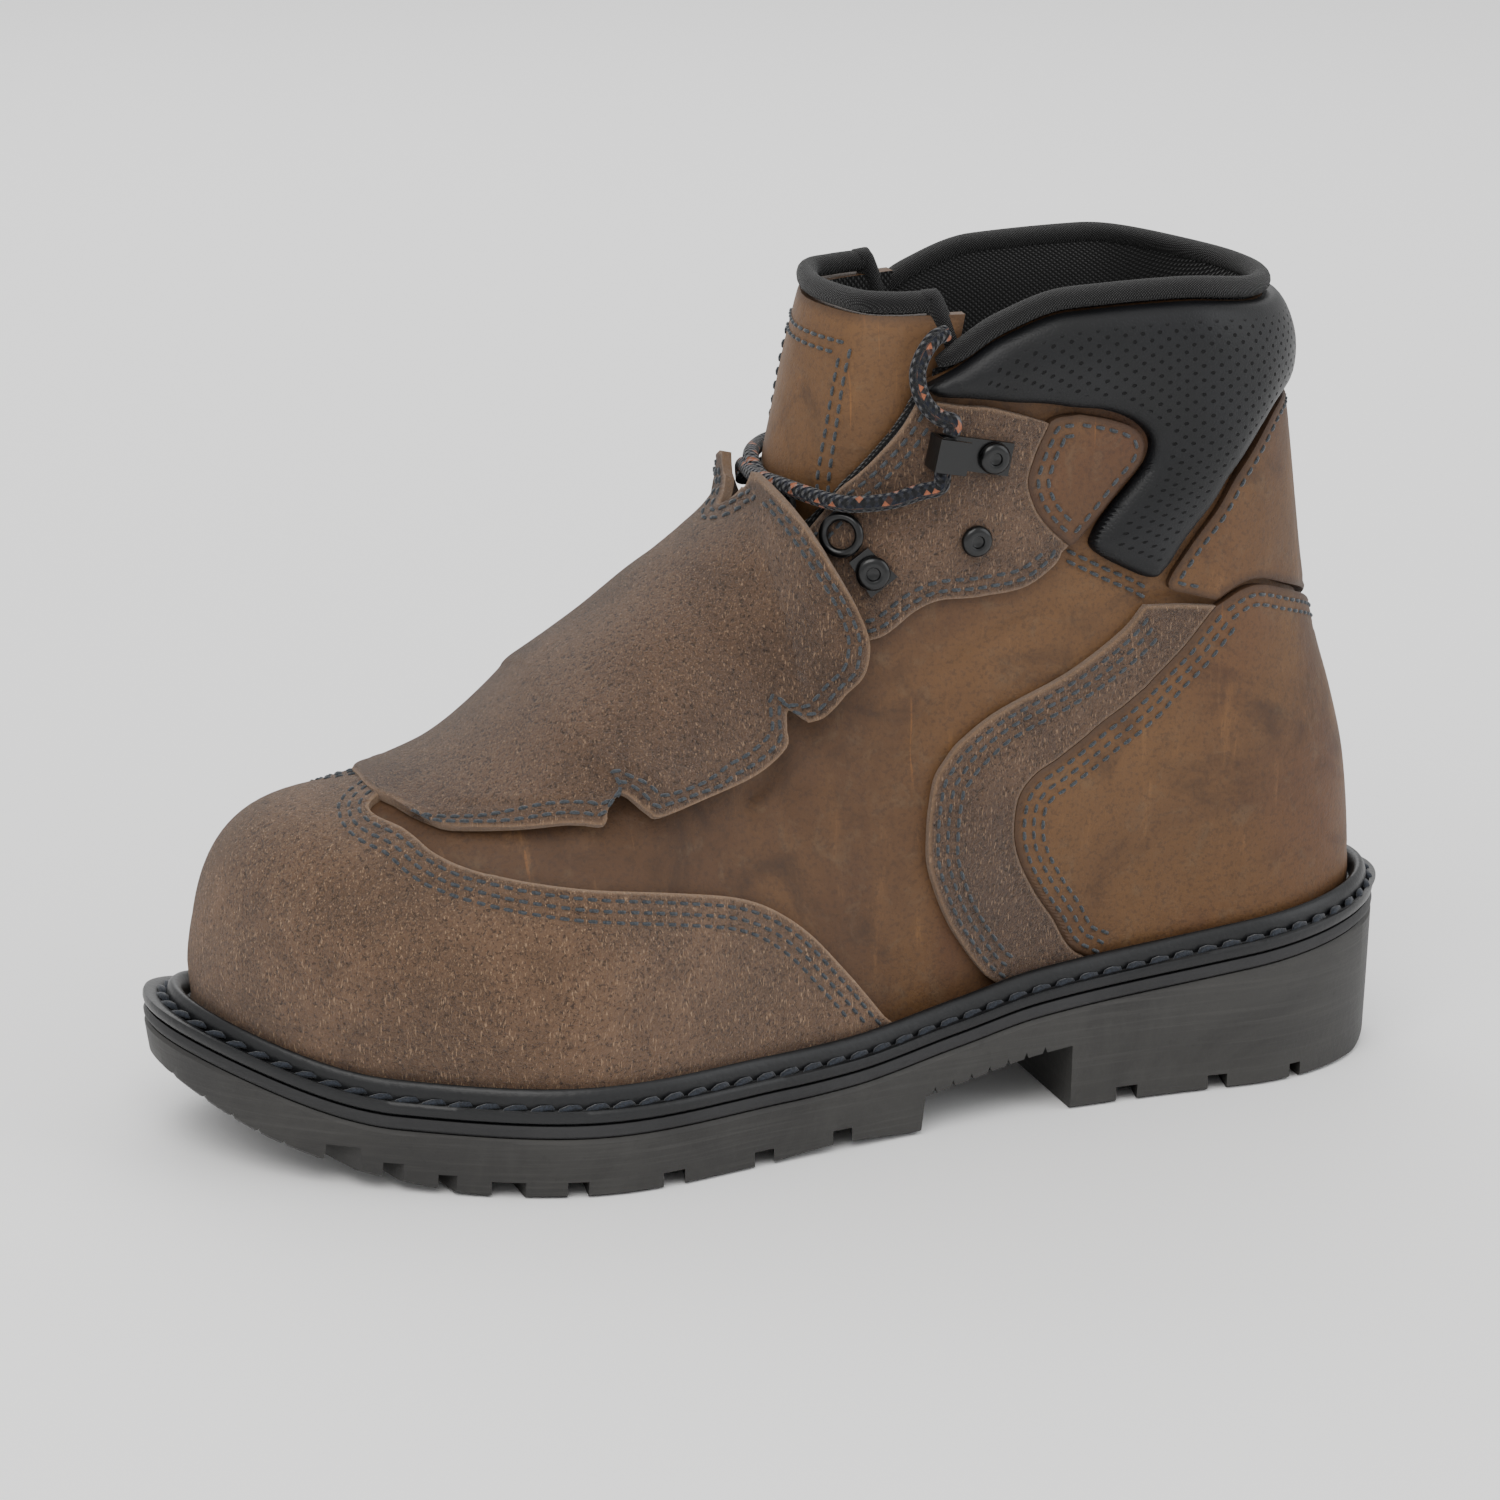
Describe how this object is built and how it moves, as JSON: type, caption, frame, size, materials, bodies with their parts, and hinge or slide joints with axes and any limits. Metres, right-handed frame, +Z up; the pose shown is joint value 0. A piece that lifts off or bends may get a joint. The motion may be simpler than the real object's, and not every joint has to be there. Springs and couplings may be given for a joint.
{
  "type": "work boot",
  "caption": "Left ankle work boot with lace hooks, padded collar, storm welt, lugged sole and a suede flap over the instep.",
  "frame": {"origin": "on the floor under the middle of the boot's bounding box", "axes": "-X toward the toe, -Y toward the lateral side, +Z up"},
  "size_m": [0.312, 0.1172, 0.2044],
  "materials": {
    "leather": "satin",
    "suede": "matte",
    "black_leather": "satin",
    "lining": "matte",
    "rubber": "matte",
    "midsole_rubber": "matte",
    "welt_rubber": "satin",
    "insole_board": "matte",
    "black_metal": "satin",
    "lace_cord": "matte"
  },
  "bodies": {
    "root": {"outsole": "rubber", "midsole": "midsole_rubber", "welt": "welt_rubber", "insole": "insole_board", "upper": "leather", "toe_cap": "suede", "saddle_lateral": "suede", "saddle_medial": "suede", "heel_counter": "leather", "back_panel": "leather", "eyestay_lateral": "suede", "eyestay_medial": "suede", "side_tab_lateral": "leather", "side_tab_medial": "leather", "collar_pad": "black_leather", "collar_roll": "lining", "tongue": "leather", "tongue_binding": "lining", "metatarsal_guard": "suede", "lace": "lace_cord", "lace_end_lateral": "lace_cord", "lace_end_medial": "lace_cord", "lace_hook_lateral": "black_metal", "hook_rivet_lateral": "black_metal", "ring_plate_lateral": "black_metal", "ring_rivet_lateral": "black_metal", "lace_ring_lateral": "black_metal", "rivet_lateral": "black_metal", "lace_hook_medial": "black_metal", "hook_rivet_medial": "black_metal", "ring_plate_medial": "black_metal", "ring_rivet_medial": "black_metal", "lace_ring_medial": "black_metal", "rivet_medial": "black_metal"}
  },
  "joints": []
}
